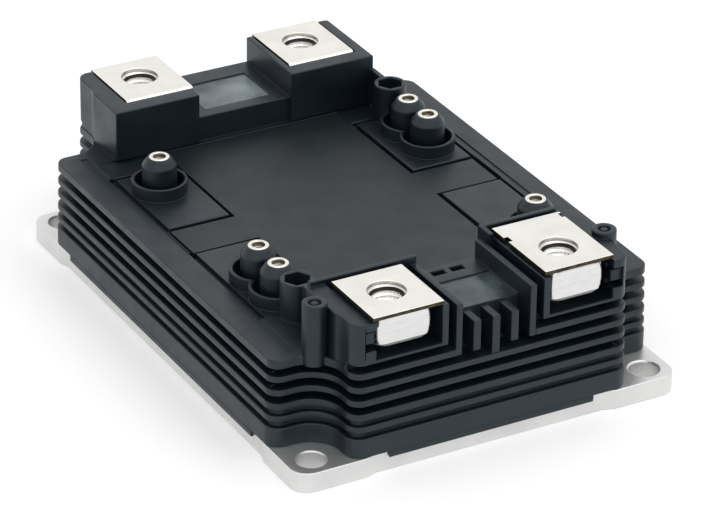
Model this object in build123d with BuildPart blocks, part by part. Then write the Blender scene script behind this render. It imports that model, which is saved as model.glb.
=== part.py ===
from build123d import *
import os

# High-voltage switch module on a 140 x 100 mm base plate, 40 mm tall to its main terminals.
# Frame: +X along the short side, +Y from the two nut blocks to the two towers, +Z up.
# Origin: centre of the base plate's underside. All sizes are in millimetres.

# Base plate
plate_w = 100.0
plate_l = 140.0
plate_t = 5.0
plate_corner_r = 4.5
edge_recess = 1.0
recess_blend = 3.0
mount_edge_x = 6.25
mount_edge_y = 5.75
mount_hole_r = 3.5

# Housing outline and its ribs
notch_r = 7.25
bay_max_r = 12.0
outer_r = 3.7
front_set = 0.3
tower_overhang = 3.0
skirt_drop = 1.5
skirt_clear = 0.1
draft_per_mm = 0.028
band_h = 4.9
shallow_h = 1.5
shallow_rib = 1.5
shallow_depth = 1.3
shallow_count = 2
join_rib = 1.7
deep_h = 1.8
deep_rib = 1.6
deep_depth = 3.6
deep_count = 3
deck_t = 2.2
wall_t = 6.5
roof_t = 5.0

# Lid in the middle of the deck
lid_x = 24.0
lid_t = 1.8
lid_sink = 0.3
lid_gap = 0.9
hairline = 0.1
lid_seat = 2.0
tab_reach = 17.0
tab_w = 12.0
tab_y = 4.5

# Main terminals
term_inset_x = 14.2
term_w = 18.0
term_t = 1.0
term_top_z = 40.0
term_hole_r = 4.5
front_hole_set = 10.5
rear_hole_set = 8.8
left_plate_l = 20.0
right_plate_l = 24.4
rear_plate_l = 20.2
plate_set = 0.45
slot_clear = 0.3
slot_w = 1.5
leg_w = 14.0

# Nuts and their pockets
nut_w = 14.0
nut_l = 16.0
nut_h = 7.6
nut_corner_r = 1.8
nut_shift = -0.5
nut_set = 0.3
nut_clear = 0.3
tap_r = 3.4
screw_room_r = 4.6
screw_room_h = 7.0
pocket_w = 16.6
pocket_l = 17.5
pocket_drop = 2.4
pocket_shelf = 7.0
pocket_wall = 1.7
block_drop = 1.5
bed_set = 1.0
latch_w = 2.7
latch_h = 5.0
latch_d = 3.5
catch_h = 3.0
catch_set = 1.2

# Fins, ledge and comb between the nut blocks
centre_shift = 0.6
fin_gap = 1.9
fin_t = 1.65
fin_drop = 2.3
comb_t = 2.0
comb_pitch = 4.9
comb_count = 3
comb_top_z = 32.4
comb_l = 5.6
ledge_top_z = 33.4
ledge_l = 12.2
strip_l = 6.8
strip_hole_w = 3.2
strip_hole_l = 1.7
strip_hole_depth = 3.0
strip_hole_set = 1.8
panel_recess = 0.4
rim_t = 1.3
rim_drop = 0.3
rim_return = 4.0

# Towers at the rear and the bridge between them
tower_lip = 4.6
left_tower_in = 8.4
right_tower_in = 10.9
right_tower_out = 12.0
tower_drop = 0.15
bridge_top_z = 33.1
bridge_set = 1.3
bridge_panel_w = 17.8
bridge_panel_l = 13.8
bridge_panel_set = 6.2

# Auxiliary posts with their guard rings, bosses and pin posts
aux_inset_x = 16.0
boss_y = 39.2
boss_step = 9.1
pair_pitch = 9.65
post_r = 4.2
post_tip_r = 2.8
post_cone_h = 2.0
spigot_r = 3.2
aux_top_z = 36.1
insert_r = 2.5
insert_l = 8.0
insert_floor = 2.3
insert_proud = 0.2
insert_tap_r = 1.25
lead_r = 0.75
lead_room = 0.05
ring_outer_r = 6.8
ring_inner_r = 5.9
ring_h = 3.3
ring_sink = 1.5
boss_r = 4.0
boss_top_z = 36.3
boss_hex = 5.6
boss_hex_depth = 4.5
boss_bore_r = 1.7
boss_bore_depth = 5.0
web_t = 1.4
web_reach = 9.4
pin_post_r = 2.9
pin_post_top_z = 39.9
pin_hole_r = 1.5
pin_hole_depth = 0.8
pin_set = 0.5
left_pin_x = 39.0
right_pin_x = 36.2
groove_set = 7.9
groove_w = 1.2
groove_depth = 1.4
rear_groove_y = 40.3
step_set = 6.2
step_depth = 0.35

# Inside: substrates, chips, bonds, board, gel and seal
tile_t = 1.0
tile_gap = 2.0
tile_l = 46.5
track_t = 0.4
track_border = 1.0
pad_gap = 1.0
foot_pad_l = 12.0
foot_end = 4.0
gate_pad_l = 4.0
chip_t = 0.4
chip_w = 10.0
switch_l = 11.0
diode_l = 7.0
chip_cols = 3
ribbon_w = 2.0
ribbon_t = 0.3
ribbon_rise = 1.6
ribbon_land = 1.5
ribbon_x = 2.5
gate_ribbon_w = 0.8
board_z = 15.0
board_t = 1.6
board_border = 4.0
board_slack = 3.0
gate_pin_r = 0.5
gel_top_z = 13.5
seal_inset = 2.6
seal_w = 1.8
seal_t = 0.8

# Worked out from the values above
half_w = plate_w / 2
half_l = plate_l / 2
mount_x = half_w - mount_edge_x
mount_y = half_l - mount_edge_y
notch_x = mount_x - notch_r
notch_y = mount_y - notch_r
front_y = front_set - half_l
back_y = half_l + tower_overhang
skirt_z = plate_t - skirt_drop
shallow_z = plate_t + band_h
deep_z = shallow_z + shallow_count * shallow_h + (shallow_count - 1) * shallow_rib + join_rib
rib_top_z = deep_z + deep_count * deep_h + (deep_count - 1) * deep_rib
deck_z = rib_top_z + deck_t
roof_z = deck_z - roof_t
groove_z = rib_top_z + deep_rib
block_z = groove_z + deep_h
low_z = rib_top_z - deep_h
lid_top_z = deck_z - lid_sink
lid_z = lid_top_z - lid_t
under_z = term_top_z - term_t
nut_z = under_z - nut_h
pocket_z = nut_z - pocket_drop
block_top_z = term_top_z - block_drop
rim_top_z = term_top_z - rim_drop
insert_z = aux_top_z - insert_l
seat_z = deck_z - ring_sink
tip_z = aux_top_z - insert_proud
draft_step = draft_per_mm * (term_top_z - plate_t)
face_y = front_y + draft_per_mm * (nut_z - plate_t)
term_x = notch_x - term_inset_x
front_hole_y = front_y + front_hole_set
rear_hole_y = back_y - rear_hole_set
left_back_y = face_y - plate_set + left_plate_l
right_back_y = face_y + plate_set + right_plate_l
left_rim_y = left_back_y + slot_w
right_rim_y = right_back_y + slot_w
rear_edge_y = back_y - rear_plate_l
tower_y = rear_edge_y - tower_lip
block_x = term_x - pocket_w / 2 - pocket_wall
fin_x = block_x - fin_gap
left_wall_x = centre_shift - block_x
right_wall_x = centre_shift + block_x
fin_top_z = term_top_z - fin_drop
fin_in_x = fin_x - fin_t
left_fin_x = centre_shift - fin_in_x
comb_xs = [centre_shift + (index - (comb_count - 1) / 2) * comb_pitch for index in range(comb_count)]
ledge_y = face_y + comb_l
ledge_back_y = ledge_y + ledge_l
strip_back_y = ledge_back_y + strip_l
bridge_y = tower_y + bridge_set
aux_x = half_w - aux_inset_x
near_y = boss_y - boss_step
far_y = near_y - pair_pitch
pin_y = notch_y - pin_set
cavity_x = half_w - wall_t
tile_w = cavity_x - 1.5 * tile_gap
tile_x = (tile_gap + tile_w) / 2
track_z = plate_t + tile_t
chip_z = track_z + track_t
ribbon_z = chip_z + chip_t
board_top_z = board_z + board_t
foot_pad_y = tile_gap / 2 + tile_l - track_border
gate_pad_y = foot_pad_y - foot_pad_l - pad_gap
field_y = gate_pad_y - gate_pad_l - pad_gap
switch_y = field_y - pad_gap - switch_l / 2
diode_y = switch_y - switch_l / 2 - pad_gap - diode_l / 2
foot_end_y = foot_pad_y - foot_pad_l + foot_end
column_pitch = tile_w / chip_cols
corners = {"front_left": (-1, -1), "front_right": (1, -1), "rear_left": (-1, 1), "rear_right": (1, 1)}
main_terminals = {
    "dc_terminal_left": (-term_x, -1, front_hole_y, left_back_y, left_plate_l),
    "dc_terminal_right": (term_x, -1, front_hole_y, right_back_y, right_plate_l),
    "ac_terminal_left": (-term_x, 1, rear_hole_y, rear_edge_y, rear_plate_l),
    "ac_terminal_right": (term_x, 1, rear_hole_y, rear_edge_y, rear_plate_l),
}
aux_sites = {
    "aux_insert_left_front": (-aux_x, -near_y),
    "aux_insert_left_middle": (-aux_x, -far_y),
    "aux_insert_left_rear": (-aux_x, near_y),
    "aux_insert_right_front": (aux_x, -near_y),
    "aux_insert_right_middle": (aux_x, far_y),
    "aux_insert_right_rear": (aux_x, near_y),
}


def box(x0, x1, y0, y1, z0, z1, mode=Mode.ADD):
    """Box between two x, two y and two z values, given in any order."""
    with Locations(((x0 + x1) / 2, (y0 + y1) / 2, (z0 + z1) / 2)):
        Box(abs(x1 - x0), abs(y1 - y0), abs(z1 - z0), mode=mode)


def rod(x, y, z0, z1, r, mode=Mode.ADD):
    """Upright cylinder between two heights."""
    with Locations((x, y, (z0 + z1) / 2)):
        Cylinder(r, z1 - z0, mode=mode)


def closed_shape(corner_list):
    """Face from (x, y, corner radius) points."""
    with BuildSketch(Plane.XY) as outline:
        with BuildLine():
            FilletPolyline(*[(x, y) for x, y, r in corner_list], radius=[r for x, y, r in corner_list], close=True)
        make_face()
    return outline.sketch


def footprint(inset, front=front_y, back=back_y):
    """Housing outline: a rectangle whose corners step in round the mounting screws."""
    x_out = half_w - inset
    x_in = notch_x - inset
    step = notch_y - inset
    tip = max(outer_r - inset, web_t / 4)
    bay = min(notch_r + inset, bay_max_r)
    right = [(x_in, front + inset, tip), (x_in, -step, bay), (x_out, -step, tip)]
    right = right + [(x_out, step, tip), (x_in, step, bay), (x_in, back - inset, tip)]
    return closed_shape(right + [(-x, y, r) for x, y, r in reversed(right)])


def band(outer, inner):
    """Ring between two insets of the wall where it stands on the base plate."""
    with BuildSketch(Plane.XY) as outline:
        add(footprint(outer, -half_l, half_l))
        add(footprint(inner, -half_l, half_l), mode=Mode.SUBTRACT)
    return outline.sketch


def plate_outline():
    """Base plate outline: full width at its four ears and stepped back between them."""
    ear_x = notch_x - outer_r
    ear_y = notch_y - outer_r
    soft = recess_blend / 2
    quarter = [
        (ear_x - recess_blend, half_l - edge_recess, soft), (ear_x, half_l, soft),
        (half_w, half_l, plate_corner_r),
        (half_w, ear_y, soft), (half_w - edge_recess, ear_y - recess_blend, soft),
    ]
    right = quarter + [(x, -y, r) for x, y, r in reversed(quarter)]
    return closed_shape(right + [(-x, y, r) for x, y, r in reversed(right)])


def lid_outline(grow=0.0):
    """Lid outline: a long panel with a tab on each side and a step beside the longer block."""
    half = lid_x + grow
    reach = lid_x + tab_reach + grow
    low = tab_y - tab_w / 2 - grow
    high = tab_y + tab_w / 2 + grow
    near = strip_back_y + hairline - min(grow, 0.0)
    far = tower_y - hairline + min(grow, 0.0)
    step_x = right_wall_x - rim_t - hairline + min(grow, 0.0)
    step_y = right_rim_y + rim_t + hairline - min(grow, 0.0)
    left = [(-half, low), (-reach, low), (-reach, high), (-half, high), (-half, far)]
    right = [(half, far), (half, high), (reach, high), (reach, low), (half, low)]
    with BuildSketch(Plane.XY) as outline:
        with BuildLine():
            Polyline((-half, near), *left, *right, (half, step_y), (step_x, step_y), (step_x, near), close=True)
        make_face()
    return outline.sketch


def lid_recess():
    """Recess for the lid: a clear groove along the small panels and a tight fit at both ends."""
    with BuildSketch(Plane.XY) as outline:
        add(lid_outline(lid_gap))
        for side in (-1, 1):
            with Locations((side * (lid_x + (lid_gap + hairline) / 2), (rear_groove_y + groove_w / 2 + tower_y) / 2)):
                Rectangle(lid_gap - hairline, tower_y - rear_groove_y - groove_w / 2, mode=Mode.SUBTRACT)
    return outline.sketch


def slice_of(shape, z0, z1, mode=Mode.ADD):
    """Straight slice with the given outline between two heights."""
    with BuildSketch(Plane.XY.offset(z0)) as outline:
        add(shape)
    extrude(outline.sketch, amount=z1 - z0, mode=mode)


def wall(z0, z1, depth=0.0):
    """Slice of the drafted wall, set in by a groove depth."""
    slice_of(footprint(draft_per_mm * ((z0 + z1) / 2 - plate_t) + depth), z0, z1)


def crown(x0, x1, y0, y1, z0, z1):
    """Block above the deck whose outer faces carry the housing wall up."""
    with BuildSketch(Plane.XY.offset(z0)) as outline:
        add(footprint(draft_per_mm * ((z0 + z1) / 2 - plate_t)))
        with Locations(((x0 + x1) / 2, (y0 + y1) / 2)):
            Rectangle(x1 - x0, y1 - y0, mode=Mode.INTERSECT)
    extrude(outline.sketch, amount=z1 - z0)


def ribbon(x, width, y0, z0, y1, z1):
    """Bond ribbon: a low arch that lands flat on two surfaces."""
    way = 1 if y1 > y0 else -1
    top = max(z0, z1) + ribbon_rise
    path = [
        (y0, z0), (y0 + way * ribbon_land, z0), (y0 + way * (ribbon_land + ribbon_rise), top),
        (y1 - way * (ribbon_land + ribbon_rise), top), (y1 - way * ribbon_land, z1), (y1, z1),
    ]
    with BuildSketch(Plane.YZ.offset(x - width / 2)) as side_view:
        with BuildLine():
            Polyline(*path, *[(y, z + ribbon_t) for y, z in reversed(path)], close=True)
        make_face()
    extrude(side_view.sketch, amount=width)


os.makedirs("parts", exist_ok=True)
pieces = {}

# Base plate with four screw holes in its ears.
with BuildPart() as base_plate:
    slice_of(plate_outline(), 0.0, plate_t)
    for sx, sy in corners.values():
        rod(sx * mount_x, sy * mount_y, 0.0, plate_t, mount_hole_r, Mode.SUBTRACT)
pieces["base_plate"] = base_plate

# Housing frame, made of slices and blocks that are joined and then hollowed.
# Ribbed wall: plain band, shallow grooves, deep grooves and the deck, from the bottom up.
with BuildPart() as ribbed_wall:
    wall(plate_t, shallow_z)
    level = shallow_z
    for index in range(shallow_count):
        rib = shallow_rib if index < shallow_count - 1 else join_rib
        wall(level, level + shallow_h, shallow_depth)
        wall(level + shallow_h, level + shallow_h + rib)
        level = level + shallow_h + rib
    for index in range(deep_count):
        rib = deep_rib if index < deep_count - 1 else deck_t
        wall(level, level + deep_h, deep_depth)
        wall(level + deep_h, level + deep_h + rib)
        level = level + deep_h + rib

# Upper works: nut blocks and ledge in front, towers and bridge at the rear.
with BuildPart() as upper_works:
    crown(-notch_x, left_wall_x, front_y, left_rim_y, deck_z, block_top_z)
    crown(right_wall_x, notch_x, front_y, right_rim_y, deck_z, block_top_z)
    crown(-notch_x, -term_x + left_tower_in, tower_y, back_y, deck_z, term_top_z - tower_drop)
    crown(term_x - right_tower_in, term_x + right_tower_out, tower_y, back_y, deck_z, term_top_z - tower_drop)
    crown(-term_x, term_x, bridge_y, back_y, deck_z, bridge_top_z)
    box(-fin_x + centre_shift, fin_x + centre_shift, ledge_y, strip_back_y, roof_z, ledge_top_z)

# Top groove under the blocks and towers, and the bay in front of the ledge.
with BuildPart() as end_cuts:
    box(-half_w, half_w, front_y, face_y + deep_depth, groove_z, block_z)
    box(-half_w, half_w, back_y - deep_depth, back_y, groove_z, block_z)
    box(-fin_x + centre_shift, fin_x + centre_shift, front_y, ledge_y, low_z, deck_z)

# Thin parts: rims behind the terminals, tall fins, comb, guard rings, bosses, webs and pin posts.
with BuildPart() as thin_works:
    box(draft_step - notch_x, left_fin_x, left_rim_y, left_rim_y + rim_t, roof_z, rim_top_z)
    box(right_wall_x - rim_t, notch_x - draft_step - outer_r, right_rim_y, right_rim_y + rim_t, roof_z, rim_top_z)
    box(right_wall_x - rim_t, right_wall_x, right_rim_y - rim_return, right_rim_y, deck_z, rim_top_z)
    for side, end in ((-1, left_rim_y + rim_t), (1, right_back_y)):
        outer = side * fin_x + centre_shift
        box(outer, outer - side * fin_t, face_y, ledge_y, rib_top_z, fin_top_z)
        box(outer, outer - side * fin_t, ledge_y, end, roof_z, fin_top_z)
    for x in comb_xs:
        foot = low_z if x == centre_shift else rib_top_z
        box(x - comb_t / 2, x + comb_t / 2, face_y, ledge_y, foot, comb_top_z)
    for x, y in aux_sites.values():
        rod(x, y, deck_z - groove_depth, deck_z + ring_h, ring_outer_r)
    for side in (-1, 1):
        y = side * boss_y
        rod(side * aux_x, y, deck_z - ring_sink, boss_top_z, boss_r)
        box(side * aux_x - web_t / 2, side * aux_x + web_t / 2, y, y + side * web_reach, deck_z, boss_top_z)
    for x in (-left_pin_x, right_pin_x):
        rod(x, -pin_y, rib_top_z, pin_post_top_z, pin_post_r)
    for x, face, hole_y, edge_y, length in main_terminals.values():
        if face < 0:
            box(x + bed_set - term_w / 2, x - bed_set + term_w / 2, face_y + pocket_l, edge_y, block_top_z, under_z)

# Everything that is hollow in the finished housing.
with BuildPart() as hollows:
    # Latch windows beside the front pockets, each with its catch left standing.
    for side in (-1, 1):
        inner = side * (term_x + pocket_w / 2) + centre_shift
        box(inner, inner + side * latch_w, front_y, face_y + latch_d, nut_z, nut_z + latch_h)
        box(inner, inner + side * latch_w, face_y + catch_set, face_y + latch_d, nut_z + catch_set,
            nut_z + catch_set + catch_h, Mode.SUBTRACT)
    # Rings are open down to a little below the deck, and each has a hole for its post.
    for x, y in aux_sites.values():
        rod(x, y, seat_z, deck_z + ring_h, ring_inner_r)
        rod(x, y, roof_z, seat_z, spigot_r)
    # Sunk panels on the ledge and the bridge, and two slots in the strip behind the ledge.
    box(-fin_in_x + centre_shift, fin_in_x + centre_shift - panel_recess, ledge_y, ledge_back_y,
        ledge_top_z - panel_recess, ledge_top_z)
    for x in (centre_shift - comb_pitch / 2, centre_shift + comb_pitch / 2):
        box(x - strip_hole_w / 2, x + strip_hole_w / 2, strip_back_y - strip_hole_set - strip_hole_l,
            strip_back_y - strip_hole_set, ledge_top_z - strip_hole_depth, ledge_top_z)
    box(-bridge_panel_w / 2 - pad_gap, bridge_panel_w / 2 - pad_gap, back_y - bridge_panel_set - bridge_panel_l,
        back_y - bridge_panel_set, bridge_top_z - panel_recess, bridge_top_z)
    # Long shallow step and the grooves that frame the auxiliary panels.
    for side in (-1, 1):
        outer = side * (half_w - groove_set)
        box(side * (half_w - step_set), outer, outer_r - notch_y, notch_y - outer_r, deck_z - step_depth, deck_z)
        for start, end in ((tab_y - tab_w / 2, -near_y - ring_outer_r), (tab_y + tab_w / 2, rear_groove_y)):
            box(outer, outer - side * groove_w, start, end, deck_z - groove_depth, deck_z)
        box(outer, side * lid_x, rear_groove_y - groove_w / 2, rear_groove_y + groove_w / 2,
            deck_z - groove_depth, deck_z)
    for side in (-1, 1):
        rod(side * aux_x, side * boss_y, deck_z - ring_sink, deck_z, boss_r, Mode.SUBTRACT)
    # Hexagon sockets with a blind bore in the two bosses, and the pin posts' dimples.
    for side in (-1, 1):
        with BuildSketch(Plane.XY.offset(boss_top_z - boss_hex_depth)):
            with Locations((side * aux_x, side * boss_y)):
                RegularPolygon(boss_hex / 2, 6, major_radius=False)
        extrude(amount=boss_hex_depth)
        rod(side * aux_x, side * boss_y, boss_top_z - boss_hex_depth - boss_bore_depth, boss_top_z, boss_bore_r)
    for x in (-left_pin_x, right_pin_x):
        rod(x, -pin_y, pin_post_top_z - pin_hole_depth, pin_post_top_z, pin_hole_r)
    # Nut pockets open to the end faces, each with a shelf for the nut and room for the screw tip.
    for x, face, hole_y, edge_y, length in main_terminals.values():
        end_y = front_y if face < 0 else back_y
        left_x = x + nut_shift - nut_w / 2 - nut_clear
        right_x = x + nut_shift + nut_w / 2 + nut_clear
        if face < 0:
            left_x = x + centre_shift - pocket_w / 2
            right_x = left_x + pocket_w
        box(left_x, right_x, end_y, end_y - face * pocket_l, nut_z, under_z)
        box(left_x, right_x, end_y, end_y - face * pocket_shelf, pocket_z, nut_z)
        rod(x, hole_y, nut_z - screw_room_h, nut_z, screw_room_r)
        # Seat for the rear plates, a wide slot behind the front plates and a narrow one for each leg.
        wide = term_w / 2 + slot_clear
        narrow = leg_w / 2 + slot_clear
        leg_front = edge_y + face * (term_t + slot_clear)
        if face > 0:
            box(x - wide, x + wide, edge_y - slot_clear, back_y, under_z, term_top_z)
        else:
            box(x - wide, x + wide, leg_front, edge_y + slot_w, deck_z, term_top_z)
        box(x - narrow, x + narrow, leg_front, edge_y - face * slot_clear, roof_z, term_top_z)
    # Cavity below the roof, lid opening, lid seat and the lowered deck behind the lid.
    slice_of(footprint(wall_t, -half_l, half_l), plate_t, roof_z)
    slice_of(lid_outline(-lid_seat), roof_z, lid_z)
    slice_of(lid_recess(), lid_z, deck_z)
    box(-lid_x - tab_reach, lid_x + tab_reach, rear_groove_y + groove_w / 2, bridge_y, lid_top_z, deck_z)
    # Groove for the seal.
    slice_of(band(seal_inset, seal_inset + seal_w), plate_t, plate_t + seal_t)

with BuildPart() as housing_frame:
    add(ribbed_wall.part)
    add(upper_works.part)
    add(end_cuts.part, mode=Mode.SUBTRACT)
    add(thin_works.part)
    add(hollows.part, mode=Mode.SUBTRACT)
    # Skirt that laps over the stepped-back plate edge.
    reach_x = notch_x - outer_r - 2 * recess_blend
    reach_y = notch_y - outer_r - 2 * recess_blend
    clear_x = half_w - edge_recess + skirt_clear
    clear_y = half_l - edge_recess + skirt_clear
    for side in (-1, 1):
        box(side * clear_x, side * half_w, -reach_y, reach_y, skirt_z, plate_t)
    box(-reach_x, reach_x, front_y, -clear_y, skirt_z, plate_t)
    box(-reach_x, reach_x, clear_y, back_y, skirt_z, plate_t)
pieces["housing_frame"] = housing_frame

# Lid: flat plate resting on the seat in the deck.
with BuildPart() as lid:
    slice_of(lid_outline(), lid_z, lid_top_z)
pieces["lid"] = lid

# Seal bead in the groove under the wall.
with BuildPart() as seal_bead:
    slice_of(band(seal_inset, seal_inset + seal_w), plate_t, plate_t + seal_t)
pieces["seal_bead"] = seal_bead

# Main terminals: drilled top plate, leg down a slot and a foot on the copper.
for name, (x, face, hole_y, edge_y, length) in main_terminals.items():
    leg_y = edge_y + face * term_t
    with BuildPart() as terminal:
        box(x - term_w / 2, x + term_w / 2, edge_y + face * length, edge_y, under_z, term_top_z)
        box(x - leg_w / 2, x + leg_w / 2, edge_y, leg_y, chip_z, under_z)
        box(x - leg_w / 2, x + leg_w / 2, leg_y, face * foot_end_y, chip_z, chip_z + term_t)
        bends = terminal.edges().filter_by(Axis.X).group_by(Axis.Z)[-1].sort_by(Axis.Y)
        fillet(bends[-1] if face < 0 else bends[0], term_t)
        rod(x, hole_y, under_z, term_top_z, term_hole_r, Mode.SUBTRACT)
    pieces[name] = terminal

# Nuts: plain blocks on the pocket shelves, tapped on the terminal hole's axis.
for name, (x, face, hole_y, edge_y, length) in main_terminals.items():
    near = face_y + nut_set if face < 0 else back_y - nut_set
    with BuildPart() as nut:
        box(x + nut_shift - nut_w / 2, x + nut_shift + nut_w / 2, near, near - face * nut_l, nut_z, under_z)
        fillet(nut.edges().filter_by(Axis.Z), nut_corner_r)
        rod(x, hole_y, nut_z, under_z, tap_r, Mode.SUBTRACT)
    pieces[name.replace("terminal", "nut")] = nut

# Auxiliary posts: turned about their axes, with a spigot in the roof and a hole for the insert.
for name, (x, y) in aux_sites.items():
    with BuildPart() as post:
        with BuildSketch(Plane.XZ.offset(-y)):
            with BuildLine():
                Polyline(
                    (x, roof_z), (x + spigot_r, roof_z), (x + spigot_r, seat_z), (x + post_r, seat_z),
                    (x + post_r, tip_z - post_cone_h), (x + post_tip_r, tip_z), (x, tip_z), close=True,
                )
            make_face()
        revolve(axis=Axis((x, y, 0), (0, 0, 1)))
        rod(x, y, insert_z, tip_z, insert_r, Mode.SUBTRACT)
        rod(x, y, roof_z, insert_z, lead_r + lead_room, Mode.SUBTRACT)
    pieces[name.replace("insert", "post")] = post

# Auxiliary inserts: tapped sleeve with a lead down to the board.
for name, (x, y) in aux_sites.items():
    with BuildPart() as insert:
        rod(x, y, insert_z, aux_top_z, insert_r)
        rod(x, y, insert_z + insert_floor, aux_top_z, insert_tap_r, Mode.SUBTRACT)
        rod(x, y, board_top_z, insert_z, lead_r)
    pieces[name] = insert

# Substrate tiles with copper islands, switch chips, diode chips and ribbon bonds.
for place, (sx, sy) in corners.items():
    x0 = sx * (tile_gap / 2 + track_border)
    x1 = sx * (tile_gap / 2 + tile_w - track_border)
    columns = [sx * (tile_x + (index - (chip_cols - 1) / 2) * column_pitch) for index in range(chip_cols)]
    with BuildPart() as tile:
        box(sx * tile_gap / 2, sx * (tile_gap / 2 + tile_w), sy * tile_gap / 2, sy * (tile_gap / 2 + tile_l),
            plate_t, track_z)
    with BuildPart() as tracks:
        box(x0, x1, sy * foot_pad_y, sy * (foot_pad_y - foot_pad_l), track_z, chip_z)
        box(x0, x1, sy * gate_pad_y, sy * (gate_pad_y - gate_pad_l), track_z, chip_z)
        box(x0, x1, sy * field_y, sy * (tile_gap / 2 + track_border), track_z, chip_z)
    with BuildPart() as switches:
        for x in columns:
            box(x - chip_w / 2, x + chip_w / 2, sy * (switch_y - switch_l / 2), sy * (switch_y + switch_l / 2),
                chip_z, ribbon_z)
    with BuildPart() as diodes:
        for x in columns:
            box(x - chip_w / 2, x + chip_w / 2, sy * (diode_y - diode_l / 2), sy * (diode_y + diode_l / 2),
                chip_z, ribbon_z)
    with BuildPart() as bonds:
        for x in columns:
            ribbon(x - ribbon_x, ribbon_w, sy * switch_y, ribbon_z, sy * (foot_end_y - pad_gap), chip_z)
            ribbon(x + ribbon_x, ribbon_w, sy * switch_y, ribbon_z, sy * diode_y, ribbon_z)
            ribbon(x, gate_ribbon_w, sy * (switch_y + ribbon_land), ribbon_z, sy * (gate_pad_y - pad_gap), chip_z)
    pieces["substrate_" + place] = tile
    pieces["tracks_" + place] = tracks
    pieces["switch_chips_" + place] = switches
    pieces["diode_chips_" + place] = diodes
    pieces["bonds_" + place] = bonds

# Gate board, carried over the chips by two pins on each substrate.
with BuildPart() as gate_board:
    box(board_border - cavity_x, cavity_x - board_border, right_back_y + board_slack, tile_gap / 2 + tile_l,
        board_z, board_top_z)
    for sx, sy in corners.values():
        for step in (-column_pitch / 2, column_pitch / 2):
            rod(sx * tile_x + step, sy * (gate_pad_y - gate_pad_l / 2), chip_z, board_z, gate_pin_r)
pieces["gate_board"] = gate_board

# Soft gel poured over the chips: the cavity's lower part less everything that stands in it.
with BuildPart() as gel_fill:
    slice_of(footprint(wall_t, -half_l, half_l), plate_t, gel_top_z)
    for name, piece in pieces.items():
        if name.split("_")[0] in ("substrate", "tracks", "switch", "diode", "bonds", "dc", "ac", "gate"):
            if not name.endswith(("nut_left", "nut_right")):
                add(piece.part, mode=Mode.SUBTRACT)
pieces["gel_fill"] = gel_fill

for name, piece in pieces.items():
    piece.part.label = name
    export_step(piece.part, f"parts/{name}.step")
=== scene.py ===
import math
import bmesh
import bpy
from mathutils import Matrix, Vector, geometry, kdtree


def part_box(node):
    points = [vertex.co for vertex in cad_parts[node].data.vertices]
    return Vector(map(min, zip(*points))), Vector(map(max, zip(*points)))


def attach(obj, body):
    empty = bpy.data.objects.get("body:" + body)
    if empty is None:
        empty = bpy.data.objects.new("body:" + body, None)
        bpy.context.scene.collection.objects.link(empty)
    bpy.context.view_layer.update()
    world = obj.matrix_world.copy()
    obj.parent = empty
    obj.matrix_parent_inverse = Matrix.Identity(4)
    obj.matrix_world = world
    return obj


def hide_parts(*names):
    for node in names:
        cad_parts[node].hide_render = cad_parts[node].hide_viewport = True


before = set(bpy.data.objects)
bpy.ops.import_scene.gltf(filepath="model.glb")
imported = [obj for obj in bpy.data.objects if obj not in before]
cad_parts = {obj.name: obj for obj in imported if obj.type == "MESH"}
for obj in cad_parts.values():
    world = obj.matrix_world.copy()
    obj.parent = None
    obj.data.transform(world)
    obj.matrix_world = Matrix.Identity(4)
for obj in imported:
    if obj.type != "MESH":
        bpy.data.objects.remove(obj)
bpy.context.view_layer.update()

# Base plate: a flat slab of metal-ceramic composite with a thin nickel plating.
# It is machined flat, its rim and its four screw holes are lightly broken, and
# the housing is glued down on it. All lengths here are in metres.


def rooms(edges, reach):
    """Distance from each sharp edge to the nearest one that runs beside it, at most reach."""
    step = 0.0004  # between the points where two edges are compared
    slant = 0.6  # largest share of a distance that may run along the edge
    spots = []
    for index, edge in enumerate(edges):
        start, end = edge.verts[0].co, edge.verts[1].co
        count = max(1, math.ceil((end - start).length / step))
        spots += [(start.lerp(end, (part + 0.5) / count), index) for part in range(count)]
    tree = kdtree.KDTree(len(spots))
    for number, (point, index) in enumerate(spots):
        tree.insert(point, number)
    tree.balance()
    room = [reach] * len(edges)
    for point, index in spots:
        edge = edges[index]
        along = (edge.verts[1].co - edge.verts[0].co).normalized()
        for spot, number, gap in tree.find_range(point, reach):
            other = edges[spots[number][1]]
            if other is edge or gap >= room[index] or set(other.verts) & set(edge.verts):
                continue
            if abs((spot - point).dot(along)) < slant * gap:
                room[index] = gap
    return room


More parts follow.
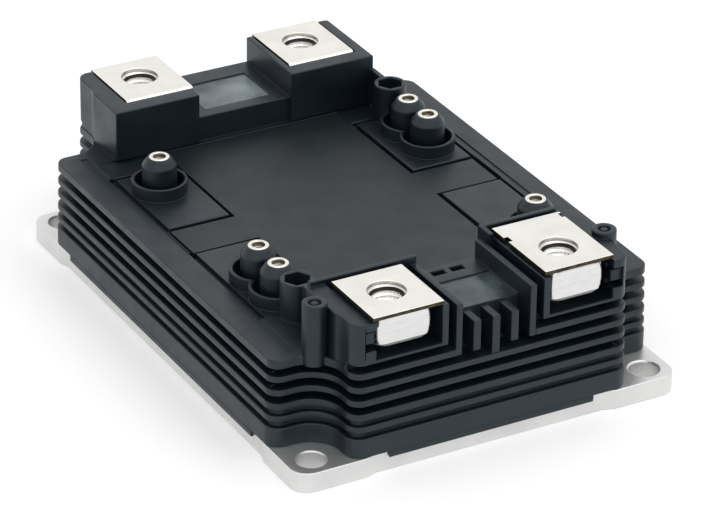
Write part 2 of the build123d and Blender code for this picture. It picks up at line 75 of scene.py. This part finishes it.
def mended(mesh):
    """Fills again each flat face whose outline crosses itself after the rounding."""
    excess, least = 1.005, 1e-10  # share and area by which a crossed face covers too much
    to_mm, weld_mm = 1000, 1e-4
    widest = 12  # corners of a gap that is closed
    mesh.calc_loop_triangles()
    covered = [0.0] * len(mesh.polygons)
    for piece in mesh.loop_triangles:
        covered[piece.polygon_index] += piece.area
    crossed = [poly.index for poly in mesh.polygons if covered[poly.index] > poly.area * excess + least]
    work = bmesh.new()
    work.from_mesh(mesh)
    work.faces.ensure_lookup_table()
    for face in [work.faces[index] for index in crossed]:
        side = face.normal.orthogonal().normalized()
        up = face.normal.cross(side)
        base = face.verts[0].co.copy()
        flat = [Vector(((vert.co - base).dot(side), (vert.co - base).dot(up))) * to_mm
                for vert in face.verts]
        outline = [list(range(len(flat)))]
        points, _, fills, origins, _, _ = geometry.delaunay_2d_cdt(flat, [], outline, 1, weld_mm)
        corners = []
        for point, origin in zip(points, origins):
            corners.append(face.verts[origin[0]] if origin else
                           work.verts.new(base + (side * point.x + up * point.y) / to_mm))
        work.faces.remove(face)
        for fill in fills:
            if len({corners[spot] for spot in fill}) == len(fill):
                try:
                    work.faces.new([corners[spot] for spot in fill]).smooth = True
                except ValueError:
                    continue
    rims = [edge for edge in work.edges if len(edge.link_faces) == 1]
    bmesh.ops.holes_fill(work, edges=rims, sides=widest)
    bare = [edge for edge in work.edges if not edge.link_faces]
    bmesh.ops.delete(work, geom=bare, context="EDGES")
    work.to_mesh(mesh)
    work.free()
    return mesh


def softened(node, width, segments=2, share=0.4, most=None, reshape=None, nicks=()):
    """Copy of a CAD node with merged flats and rounded edges, shown in its place.

    An edge gets the full width where that takes no more than the given share of the room
    beside it, or the part of it that most allows there. Blocks in nicks are cut off first.
    """
    weld, flat, sharp = 2e-6, 0.12, 32.0  # metres and degrees
    inner_part = 0.4  # of the width, for edges in a hollow
    work = bmesh.new()
    work.from_mesh(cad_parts[node].data)
    bmesh.ops.remove_doubles(work, verts=work.verts, dist=weld)
    if reshape:
        for vert in work.verts:
            vert.co = reshape(vert.co)
    bmesh.ops.dissolve_limit(work, angle_limit=math.radians(flat), verts=work.verts, edges=work.edges)
    bmesh.ops.connect_verts_concave(work, faces=work.faces)
    weight = work.edges.layers.float.new("bevel_weight_edge")
    edges = [edge for edge in work.edges
             if len(edge.link_faces) == 2 and edge.calc_face_angle(0.0) > math.radians(sharp)]
    for edge, room in zip(edges, rooms(edges, width / share)):
        part = share * room / width
        if most:
            part = min(part, most((edge.verts[0].co + edge.verts[1].co) / 2))
        edge[weight] = part if edge.is_convex else inner_part * part
    mesh = bpy.data.meshes.new(node + "_shown")
    work.to_mesh(mesh)
    work.free()
    shown = bpy.data.objects.new(node + "_shown", mesh)
    bpy.context.collection.objects.link(shown)
    for number, nick in enumerate(nicks):
        cut = shown.modifiers.new("nick_%d" % number, "BOOLEAN")
        cut.operation = "DIFFERENCE"
        cut.object = nick
    rounding = shown.modifiers.new("edge", "BEVEL")
    rounding.width = width
    rounding.segments = segments
    rounding.limit_method = "WEIGHT"
    rounding.use_clamp_overlap = False
    rounding.loop_slide = False
    shown.data = mended(baked_mesh(shown))
    shown.modifiers.clear()
    smoothed(shown)
    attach(shown, "root")
    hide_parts(node)
    return shown


def baked_mesh(shown):
    """The object's mesh with its modifiers applied."""
    return bpy.data.meshes.new_from_object(shown.evaluated_get(bpy.context.evaluated_depsgraph_get()))


def smoothed(shown, sharp=38.0):
    """Smooth shading that keeps the flats flat and the remaining sharp edges sharp."""
    for poly in shown.data.polygons:
        poly.use_smooth = True
    shown.data.set_sharp_from_angle(angle=math.radians(sharp))
    normals = shown.modifiers.new("normals", "WEIGHTED_NORMAL")
    normals.keep_sharp = True
    normals.weight = 100
    shown.data = baked_mesh(shown)
    shown.modifiers.clear()


def finish_of(name, metal=0.0):
    """New material and its principled shader."""
    material = bpy.data.materials.new(name)
    material.use_nodes = True
    shader = material.node_tree.nodes["Principled BSDF"]
    shader.inputs["Metallic"].default_value = metal
    return material, shader


def grain(shader, scale, detail=4.0, stretch=(1.0, 1.0, 1.0)):
    """Noise for a shader, read in the object's own metres."""
    tree = shader.id_data
    place = tree.nodes.new("ShaderNodeTexCoord")
    turn = tree.nodes.new("ShaderNodeMapping")
    turn.inputs["Scale"].default_value = stretch
    noise = tree.nodes.new("ShaderNodeTexNoise")
    noise.inputs["Scale"].default_value = scale
    noise.inputs["Detail"].default_value = detail
    noise.inputs["Roughness"].default_value = 0.55
    tree.links.new(place.outputs["Object"], turn.inputs["Vector"])
    tree.links.new(turn.outputs["Vector"], noise.inputs["Vector"])
    return noise.outputs["Fac"]


def varied(shader, plug, value, low, high, at=(0.3, 0.7)):
    """Runs one input of a shader between two colours or two grey levels."""
    tree = shader.id_data
    ramp = tree.nodes.new("ShaderNodeValToRGB")
    for element, place, colour in zip(ramp.color_ramp.elements, at, (low, high)):
        level = (colour, colour, colour) if isinstance(colour, float) else colour
        element.position = place
        element.color = (*level, 1.0)
    tree.links.new(value, ramp.inputs["Fac"])
    tree.links.new(ramp.outputs["Color"], shader.inputs[plug])


def relief(shader, value, height, strength):
    """Bump of a given height in metres."""
    tree = shader.id_data
    bump = tree.nodes.new("ShaderNodeBump")
    bump.inputs["Distance"].default_value = height
    bump.inputs["Strength"].default_value = strength
    tree.links.new(value, bump.inputs["Height"])
    tree.links.new(bump.outputs["Normal"], shader.inputs["Normal"])


def painted(shown, material):
    """One material on the whole piece."""
    shown.data.materials.clear()
    shown.data.materials.append(material)
    return shown


def plate_rounding(point):
    """The upper rims of the screw holes are rounded in full, all other edges by half."""
    upper_half, screw_x, screw_y, rim_r = 0.004, 0.04375, 0.06425, 0.0042
    away = math.hypot(abs(point.x) - screw_x, abs(point.y) - screw_y)
    return 0.5 if point.z < upper_half or away > rim_r else 1.0


plate_nickel, shader = finish_of("plate_nickel", 0.8)
varied(shader, "Base Color", grain(shader, 70.0), (0.69, 0.695, 0.685), (0.78, 0.78, 0.77))
varied(shader, "Roughness", grain(shader, 900.0), 0.30, 0.42)
relief(shader, grain(shader, 3200.0, detail=2.0), height=0.00002, strength=0.5)
plate = softened("base_plate", width=0.0006, segments=3, most=plate_rounding)
painted(plate, plate_nickel)

# Inside of the module: ceramic substrates with copper islands, chips and bonds on the plate,
# the gate board over them, soft gel round them all and the seal under the housing.
# The housing hides them, so the solids are shown as they are, each in its own material.

inside = (  # start of the nodes' names, material, two colours, lowest roughness, metal
    ("seal_bead", "seal_rubber", (0.50, 0.50, 0.49), (0.60, 0.60, 0.58), 0.6, 0.0),
    ("substrate", "substrate_ceramic", (0.78, 0.78, 0.75), (0.86, 0.86, 0.84), 0.5, 0.0),
    ("tracks", "track_copper", (0.62, 0.30, 0.18), (0.74, 0.40, 0.26), 0.35, 1.0),
    ("switch_chips", "switch_silicon", (0.10, 0.11, 0.14), (0.20, 0.21, 0.25), 0.2, 0.3),
    ("diode_chips", "diode_silicon", (0.26, 0.26, 0.28), (0.36, 0.36, 0.38), 0.2, 0.3),
    ("bonds", "bond_aluminium", (0.78, 0.78, 0.78), (0.88, 0.88, 0.88), 0.3, 1.0),
    ("gate_board", "board_resin", (0.02, 0.14, 0.06), (0.03, 0.20, 0.09), 0.35, 0.0),
    ("gel_fill", "gel_silicone", (0.72, 0.74, 0.76), (0.80, 0.82, 0.84), 0.15, 0.0),
)
for start, title, dark, pale, rough, metal in inside:
    material, shader = finish_of(title, metal)
    varied(shader, "Base Color", grain(shader, 300.0), dark, pale)
    varied(shader, "Roughness", grain(shader, 1200.0), rough, rough + 0.12)
    for name in [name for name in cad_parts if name.startswith(start)]:
        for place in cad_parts[name].material_slots:
            place.material = material

# Housing: one injection moulding in dark glass-filled plastic, with long creepage
# ribs all round, nut blocks at the front and towers at the rear.
# The flat panels on its ledge and its bridge come from polished spots of the mould, and their pale blotches
# of colour are painted reflection.


def plastic(name, dark, pale, smooth, rough, pebble, patch=45.0, pits=2600.0):
    """Dark moulded plastic: low colour, a bluish sheen and a fine pebble from the mould."""
    material, shader = finish_of(name)
    shader.inputs["Specular Tint"].default_value = (0.84, 0.97, 1.0, 1.0)
    varied(shader, "Base Color", grain(shader, patch), dark, pale)
    varied(shader, "Roughness", grain(shader, 160.0, detail=6.0), smooth, rough)
    relief(shader, grain(shader, pits, detail=3.0), pebble, strength=0.6)
    return material


def refinished(shown, material, meets):
    """A further material on the faces whose middle and normal meet a test."""
    shown.data.materials.append(material)
    last = len(shown.data.materials) - 1
    for poly in shown.data.polygons:
        if meets(poly.center, poly.normal):
            poly.material_index = last


def flat_within(low, high):
    """Test for the faces within a box that look up."""
    level = 0.99  # upward part of the normal

    def meets(middle, normal):
        return normal.z > level and all(a <= c <= b for a, c, b in zip(low, middle, high))
    return meets


bridge_panel = flat_within((-0.0099, 0.0530, 0.0325), (0.0079, 0.0668, 0.0329))
ledge_panel = flat_within((-0.0082, -0.0634, 0.0328), (0.0090, -0.0511, 0.0332))
housing_black = plastic("housing_black", (0.0035, 0.0062, 0.0110), (0.0070, 0.0110, 0.0180),
                        smooth=0.34, rough=0.48, pebble=0.00002)
# Pale blotches of painted reflection on the two panels, stronger on the bridge than on the ledge.
bridge_painted_reflection = plastic("bridge_painted_reflection", (0.010, 0.015, 0.020), (0.22, 0.26, 0.29),
                      smooth=0.10, rough=0.40, pebble=0.00001, patch=75.0)
ledge_painted_reflection = plastic("ledge_painted_reflection", (0.010, 0.015, 0.020), (0.065, 0.088, 0.105),
                     smooth=0.10, rough=0.40, pebble=0.00001, patch=170.0)
housing = painted(softened("housing_frame", width=0.0003), housing_black)
refinished(housing, bridge_painted_reflection, bridge_panel)
refinished(housing, ledge_painted_reflection, ledge_panel)

# Lid: a thin flat moulding in a duller and coarser plastic, with tabs to both sides.
# It is glued on the seat in the deck and closes the opening that the gel was poured through.

lid_black = plastic("lid_black", (0.0030, 0.0052, 0.0075), (0.0055, 0.0088, 0.0120),
                    smooth=0.42, rough=0.52, pebble=0.0001, pits=1500.0)
painted(softened("lid", width=0.00016), lid_black)

# Auxiliary posts: six round posts with a coned tip, in the housing's plastic.
# Each stands in a guard ring of the housing and holds a tapped insert.

for name in [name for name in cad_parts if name.startswith("aux_post")]:
    painted(softened(name, width=0.0003), housing_black)

# Pin buttons: a small raised button in the dimple of each of the two pin posts.
# They are moulded with the housing and stay below the post's rim.

foot_r, top_r, button_h, button_rounding = 0.00095, 0.00085, 0.0007, 0.00025
button_y, button_z = -0.0565, 0.03944
rim_angle = 1.0  # radians
for name, x in (("pin_button_left", -0.0390), ("pin_button_right", 0.0362)):
    work = bmesh.new()
    bmesh.ops.create_cone(work, cap_ends=True, segments=40, radius1=foot_r, radius2=top_r, depth=button_h,
                          matrix=Matrix.Translation((x, button_y, button_z)))
    rims = [edge for edge in work.edges
            if edge.calc_face_angle(0.0) > rim_angle and edge.verts[0].co.z > button_z]
    bmesh.ops.bevel(work, geom=rims, offset=button_rounding, segments=3, affect="EDGES", profile=0.5)
    mesh = bpy.data.meshes.new(name)
    work.to_mesh(mesh)
    work.free()
    button = bpy.data.objects.new(name, mesh)
    bpy.context.collection.objects.link(button)
    smoothed(button)
    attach(button, "root")
    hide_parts("housing_frame")
    painted(button, housing_black)

# Main terminals: stamped and bent copper sheet with bright nickel plating.
# Each plate lies on its nut, its leg goes down a slot and its foot is soldered inside.


def screw_axis(name):
    """Axis of the screw hole in a main terminal, and in the nut below it."""
    hole_x, front_y, rear_y = 0.0223, -0.0592, 0.0642
    low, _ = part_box(name)
    return Vector((math.copysign(hole_x, low[0]), front_y if name.startswith("dc") else rear_y, 0.0))


def punch(low, high):
    """Block that cuts a nick in the rim of a terminal, taken away afterwards."""
    mesh = bpy.data.meshes.new("punch")
    work = bmesh.new()
    bmesh.ops.create_cube(work, size=1.0)
    for vert in work.verts:
        vert.co = Vector([a + (b - a) * (c + 0.5) for a, b, c in zip(low, high, vert.co)])
    work.to_mesh(mesh)
    work.free()
    block = bpy.data.objects.new("punch", mesh)
    bpy.context.collection.objects.link(block)
    return block


def apart(point, axis):
    """Distance of a point from an upright axis."""
    return math.hypot(point.x - axis.x, point.y - axis.y)


def shaded_plate_rim(axis):
    """Test for the outer edge faces of a terminal's plate, which get painted shade; the wall of its hole
    keeps the plating.
    """
    plate_z, hole_reach, steep = 0.0389, 0.0055, 0.5

    def meets(middle, normal):
        return middle.z > plate_z and abs(normal.z) < steep and apart(middle, axis) > hole_reach
    return meets


terminal_nickel, shader = finish_of("terminal_nickel", 1.0)
varied(shader, "Base Color", grain(shader, 160.0), (0.80, 0.78, 0.735), (0.88, 0.865, 0.82))
varied(shader, "Roughness", grain(shader, 1300.0), 0.26, 0.36)
relief(shader, grain(shader, 1800.0, detail=3.0), height=0.00001, strength=0.4)
# Edge faces of the plates: a dark brown, partly the bare copper of the cut, mostly painted shade, as along
# the gap between plate and nut.
rim_painted_shade, shader = finish_of("rim_painted_shade", 1.0)
varied(shader, "Base Color", grain(shader, 800.0), (0.030, 0.024, 0.016), (0.095, 0.075, 0.050))
varied(shader, "Roughness", grain(shader, 1500.0), 0.35, 0.50)
left_nick = punch((0.0130, -0.0523, 0.0385), (0.0144, -0.0501, 0.0405))
right_nick = punch((0.0304, -0.0475, 0.0385), (0.0318, -0.0456, 0.0405))
nicks = {"dc_terminal_right": [left_nick, right_nick]}
for name in ("dc_terminal_left", "dc_terminal_right", "ac_terminal_left", "ac_terminal_right"):
    terminal = softened(name, width=0.0002, share=0.3, nicks=nicks.get(name, ()))
    painted(terminal, terminal_nickel)
    refinished(terminal, rim_painted_shade, shaded_plate_rim(screw_axis(name)))
for block in (left_nick, right_nick):
    bpy.data.objects.remove(block)

# Nuts: forged steel blocks with a bright zinc finish and an M8 thread.
# They are pushed in from the end faces, and the walls of their pockets keep them from turning.


def bore_steel_of(name, top, depth, painted_shade, bright):
    """Steel of a thread: dark with painted shade under its rim, bright further down."""
    material, shader = finish_of(name, 1.0)
    tree = shader.id_data
    place = tree.nodes.new("ShaderNodeTexCoord")
    split = tree.nodes.new("ShaderNodeSeparateXYZ")
    down = tree.nodes.new("ShaderNodeMapRange")
    down.inputs["From Min"].default_value = top
    down.inputs["From Max"].default_value = top - depth
    tree.links.new(place.outputs["Object"], split.inputs["Vector"])
    tree.links.new(split.outputs["Z"], down.inputs["Value"])
    varied(shader, "Base Color", down.outputs["Result"], painted_shade, bright, at=(0.22, 0.32))
    varied(shader, "Roughness", grain(shader, 900.0), 0.22, 0.38)
    return material


def bore_wall(axis, reach):
    """Test for the wall of a bore."""
    steep = 0.3

    def meets(middle, normal):
        return apart(middle, axis) < reach and abs(normal.z) < steep
    return meets


def foot_chamfer(middle, normal):
    """Test for the sawn chamfer round the foot of a nut, which looks down: it is duller than the faces, and
    painted darker as shade.
    """
    steepest, flattest, top_z = -0.3, -0.9, 0.0323
    return flattest < normal.z < steepest and middle.z < top_z


def square_nut(name, axis, bore):
    """Square nut: rounded upright corners that widen to both ends, a chamfered foot and a bored eye."""
    low, high = (Vector(corner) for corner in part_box(name))
    middle, half = (low + high) / 2, (high - low) / 2
    # Levels from the foot up: share of the height, setback of the sides and corner radius in millimetres.
    levels = ((0.0, 0.6, 2.7), (0.12, 0.03, 2.1), (0.25, 0.0, 1.7), (0.5, 0.0, 1.4), (0.75, 0.0, 1.7),
              (0.92, 0.0, 2.2), (0.98, 0.15, 2.6), (1.0, 0.4, 2.9))
    steps = 12  # in each rounded corner
    bevel = 0.0004  # at both ends of the bore
    rings = []
    for share, setback, corner in levels:
        setback, corner = setback / 1000, corner / 1000
        ring = []
        for quarter, (sx, sy) in enumerate(((1, 1), (-1, 1), (-1, -1), (1, -1))):
            for step in range(steps + 1):
                angle = math.pi / 2 * (quarter + step / steps)
                ring.append((middle.x + sx * (half.x - setback - corner) + corner * math.cos(angle),
                             middle.y + sy * (half.y - setback - corner) + corner * math.sin(angle),
                             low.z + share * (high.z - low.z)))
        rings.append(ring)
    count = len(rings[0])
    turns = [math.pi / 4 + math.tau * (spot - steps / 2) / count for spot in range(count)]
    for radius, height in ((bore + bevel, high.z), (bore, high.z - bevel), (bore, low.z + bevel),
                           (bore + bevel, low.z)):
        rings.append([(axis.x + radius * math.cos(a), axis.y + radius * math.sin(a), height) for a in turns])
    faces = []
    for tier in range(len(rings)):
        start, above = tier * count, (tier + 1) % len(rings) * count
        for spot in range(count):
            beside = (spot + 1) % count
            faces.append((start + spot, start + beside, above + beside, above + spot))
    mesh = bpy.data.meshes.new(name + "_shown")
    mesh.from_pydata([point for ring in rings for point in ring], [], faces)
    nut = bpy.data.objects.new(name + "_shown", mesh)
    bpy.context.collection.objects.link(nut)
    smoothed(nut, sharp=20.0)
    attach(nut, "root")
    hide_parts(name)
    return nut


def thread_tree():
    """Geometry Nodes: a helical ridge of diamond section, half sunk in the wall of a bore."""
    tree = bpy.data.node_groups.new("bore_thread", "GeometryNodeTree")
    for title, kind in (("Radius", "Float"), ("Pitch", "Float"), ("Turns", "Float"), ("Ridge", "Float"),
                        ("Steps", "Int"), ("Finish", "Material")):
        tree.interface.new_socket(title, in_out="INPUT", socket_type="NodeSocket" + kind)
    tree.interface.new_socket("Thread", in_out="OUTPUT", socket_type="NodeSocketGeometry")
    given = tree.nodes.new("NodeGroupInput")
    helix = tree.nodes.new("GeometryNodeCurveSpiral")
    rise = tree.nodes.new("ShaderNodeMath")
    rise.operation = "MULTIPLY"
    upright = tree.nodes.new("GeometryNodeSetCurveNormal")
    upright.mode = "Z_UP"
    section = tree.nodes.new("GeometryNodeCurvePrimitiveCircle")
    section.inputs["Resolution"].default_value = 4
    sweep = tree.nodes.new("GeometryNodeCurveToMesh")
    sweep.inputs["Fill Caps"].default_value = True
    flat = tree.nodes.new("GeometryNodeSetShadeSmooth")
    flat.inputs["Shade Smooth"].default_value = False
    whole = tree.nodes.new("GeometryNodeRealizeInstances")
    finish = tree.nodes.new("GeometryNodeSetMaterial")
    result = tree.nodes.new("NodeGroupOutput")
    for start, plug, end, socket in (
        (given, "Steps", helix, "Resolution"), (given, "Turns", helix, "Rotations"),
        (given, "Radius", helix, "Start Radius"), (given, "Radius", helix, "End Radius"),
        (given, "Pitch", rise, 0), (given, "Turns", rise, 1),
        (rise, "Value", helix, "Height"), (helix, "Curve", upright, "Curve"),
        (given, "Ridge", section, "Radius"), (upright, "Curve", sweep, "Curve"),
        (section, "Curve", sweep, "Profile Curve"), (sweep, "Mesh", flat, "Geometry"),
        (flat, "Geometry", whole, "Geometry"), (whole, "Geometry", finish, "Geometry"),
        (given, "Finish", finish, "Material"), (finish, "Geometry", result, "Thread"),
    ):
        tree.links.new(start.outputs[plug], end.inputs[socket])
    return tree


def threaded(node, axis, low, high, radius, pitch, material):
    """Helical thread between two heights of a node's bore, made by the tree; the node's own mesh is hidden.
    """
    name, ridge = node + "_thread", pitch / 2
    steps = 28  # in each turn
    thread = bpy.data.objects.new(name, bpy.data.meshes.new(name))
    bpy.context.collection.objects.link(thread)
    maker = thread.modifiers.new("thread", "NODES")
    maker.node_group = bore_thread
    values = {"Radius": radius, "Pitch": pitch, "Turns": (high - low - 2 * ridge) / pitch,
              "Ridge": ridge, "Steps": steps, "Finish": material}
    for item in bore_thread.interface.items_tree:
        if item.in_out == "INPUT":
            maker[item.identifier] = values[item.name]
    shape = baked_mesh(thread)
    thread.modifiers.clear()
    shape.transform(Matrix.Translation((axis.x, axis.y, low + ridge)))
    thread.data = shape
    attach(thread, "root")
    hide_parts(node)


streak, short_streak = (1.0, 1.0, 5.0), (1.0, 1.0, 4.0)
nut_zinc, shader = finish_of("nut_zinc", 1.0)
varied(shader, "Base Color", grain(shader, 220.0, stretch=streak), (0.66, 0.665, 0.66), (0.74, 0.74, 0.73))
varied(shader, "Roughness", grain(shader, 700.0, stretch=short_streak), 0.18, 0.32)
relief(shader, grain(shader, 700.0, stretch=short_streak), height=0.00001, strength=0.3)
# The chamfer's darker colour is painted shade on a face that looks down; its higher roughness is its duller
# finish.
nut_chamfer, shader = finish_of("nut_chamfer", 0.6)
varied(shader, "Base Color", grain(shader, 400.0), (0.30, 0.33, 0.30), (0.42, 0.45, 0.42))
varied(shader, "Roughness", grain(shader, 1500.0), 0.50, 0.65)
# The top of the nut's bore is darkened with painted shade.
nut_bore = bore_steel_of("nut_bore", top=0.0390, depth=0.0045,
                         painted_shade=(0.025, 0.022, 0.017), bright=(0.90, 0.89, 0.87))
bore_thread = thread_tree()
nut_bore_r, nut_wall_reach, nut_thread_r, nut_pitch = 0.004, 0.0042, 0.00402, 0.00125
for name in ("dc_nut_left", "dc_nut_right", "ac_nut_left", "ac_nut_right"):
    low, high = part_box(name)
    axis = screw_axis(name)
    nut = painted(square_nut(name, axis, nut_bore_r), nut_zinc)
    refinished(nut, nut_bore, bore_wall(axis, nut_wall_reach))
    refinished(nut, nut_chamfer, foot_chamfer)
    threaded(name, axis, low[2], high[2], nut_thread_r, nut_pitch, nut_bore)

# Auxiliary inserts: turned and tapped nickel-plated sleeves in the small posts.
# A thin lead runs from each one down to the gate board.


def widened(axis, bore, wanted):
    """Maker of a reshape that opens a bore from its tap size to the thread's root."""
    close = 5e-5

    def move(point):
        out = Vector((point.x - axis.x, point.y - axis.y, 0.0))
        if abs(out.length - bore) > close:
            return point
        return point + out.normalized() * (wanted - out.length)
    return move


insert_bright, shader = finish_of("insert_bright", 1.0)
varied(shader, "Base Color", grain(shader, 500.0), (0.80, 0.77, 0.71), (0.90, 0.87, 0.81))
varied(shader, "Roughness", grain(shader, 900.0), 0.18, 0.30)
# The insert's bore is darkened with painted shade under its rim, and lower down it stays darker than the
# sleeve.
insert_bore = bore_steel_of("insert_bore", top=0.0361, depth=0.0040,
                            painted_shade=(0.10, 0.085, 0.06), bright=(0.45, 0.42, 0.37))
tap_r, root_r, wall_reach = 0.00125, 0.0015, 0.0016
insert_thread_r, insert_pitch, thread_l = 0.00152, 0.0005, 0.0055
for name in [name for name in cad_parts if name.startswith("aux_insert")]:
    low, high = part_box(name)
    axis = Vector(((low[0] + high[0]) / 2, (low[1] + high[1]) / 2, 0.0))
    sleeve = softened(name, width=0.00025, reshape=widened(axis, tap_r, root_r))
    painted(sleeve, insert_bright)
    refinished(sleeve, insert_bore, bore_wall(axis, wall_reach))
    threaded(name, axis, high[2] - thread_l, high[2], insert_thread_r, insert_pitch, insert_bore)

# Floor: white board that takes the shadow. It glows a little for the camera and for
# mirrors, so that it comes out as white as the photo's ground without lighting the part.


def seen_or_mirrored(node, other, seen):
    """One level for light rays, and another for the camera, mirrors and glass."""
    tree = node.id_data
    path = tree.nodes.new("ShaderNodeLightPath")
    total = path.outputs["Is Camera Ray"]
    for plug in ("Is Glossy Ray", "Is Transmission Ray"):
        either = tree.nodes.new("ShaderNodeMath")
        either.operation = "MAXIMUM"
        tree.links.new(total, either.inputs[0])
        tree.links.new(path.outputs[plug], either.inputs[1])
        total = either.outputs[0]
    level = tree.nodes.new("ShaderNodeMapRange")
    level.inputs["To Min"].default_value = other
    level.inputs["To Max"].default_value = seen
    tree.links.new(total, level.inputs["Value"])
    return level.outputs["Result"]


white = (1.0, 1.0, 1.0, 1.0)
reach = 3
floor_mesh = bpy.data.meshes.new("floor")
floor_mesh.from_pydata([(-reach, -reach, 0), (reach, -reach, 0), (reach, reach, 0), (-reach, reach, 0)],
                       [], [(0, 1, 2, 3)])
floor = bpy.data.objects.new("floor", floor_mesh)
bpy.context.collection.objects.link(floor)
floor_paint, shader = finish_of("floor_paint")
varied(shader, "Base Color", grain(shader, 3.0), 0.89, 0.91)
shader.inputs["Roughness"].default_value = 0.9
shader.inputs["Emission Color"].default_value = white
glow = seen_or_mirrored(shader, other=0.0, seen=0.24)
shader.id_data.links.new(glow, shader.inputs["Emission Strength"])
floor.data.materials.append(floor_paint)

# Studio: a white room all round, weaker as a light than as a background, with a
# large soft key lamp over the front right corner and a weak one from the left.


def lamp(name, size, power, place):
    """Soft square lamp that points at the middle of the part."""
    light = bpy.data.lights.new(name, "AREA")
    light.size = size
    light.energy = power
    holder = bpy.data.objects.new(name, light)
    holder.location = place
    aim = Vector((0, 0, 0.02)) - Vector(place)
    holder.rotation_euler = aim.to_track_quat("-Z", "Y").to_euler()
    bpy.context.collection.objects.link(holder)


world = bpy.data.worlds.new("studio")
world.use_nodes = True
bpy.context.scene.world = world
sky = world.node_tree.nodes["Background"]
sky.inputs["Color"].default_value = white
sky.id_data.links.new(seen_or_mirrored(sky, other=0.75, seen=1.0), sky.inputs["Strength"])
lamp("key", size=1.2, power=3.9, place=(0.30, -0.30, 1.15))
lamp("fill", size=1.0, power=1.0, place=(-0.70, -0.60, 0.85))

# Camera: stands where the photo was taken from, by a fit to the outline of the plate,
# its holes and the terminals. Angles are in radians.

photo_width_px, photo_focal_px, sensor_mm = 713.0, 4109.612, 36.0
turn, rise, tilt = -0.51195456, 0.49206267, 0.01373226
target, distance = Vector((0, 0, 0.020)), 0.975006
shift_right, shift_down = 0.00272522618, 0.00531744744
away = Vector((math.sin(turn) * math.cos(rise), -math.cos(turn) * math.cos(rise), math.sin(rise)))
level = Vector((math.cos(turn), math.sin(turn), 0.0))
upward = away.cross(level)
across = math.cos(tilt) * level + math.sin(tilt) * upward
above = -math.sin(tilt) * level + math.cos(tilt) * upward
spot = target + shift_right * across - shift_down * above + distance * away
camera_data = bpy.data.cameras.new("camera")
camera_data.sensor_width = sensor_mm
camera_data.lens = photo_focal_px * sensor_mm / photo_width_px
camera = bpy.data.objects.new("camera", camera_data)
bpy.context.collection.objects.link(camera)
camera.matrix_world = Matrix.Translation(spot) @ Matrix((across, above, away)).transposed().to_4x4()
bpy.context.scene.camera = camera
bpy.context.scene.view_settings.view_transform = "Standard"
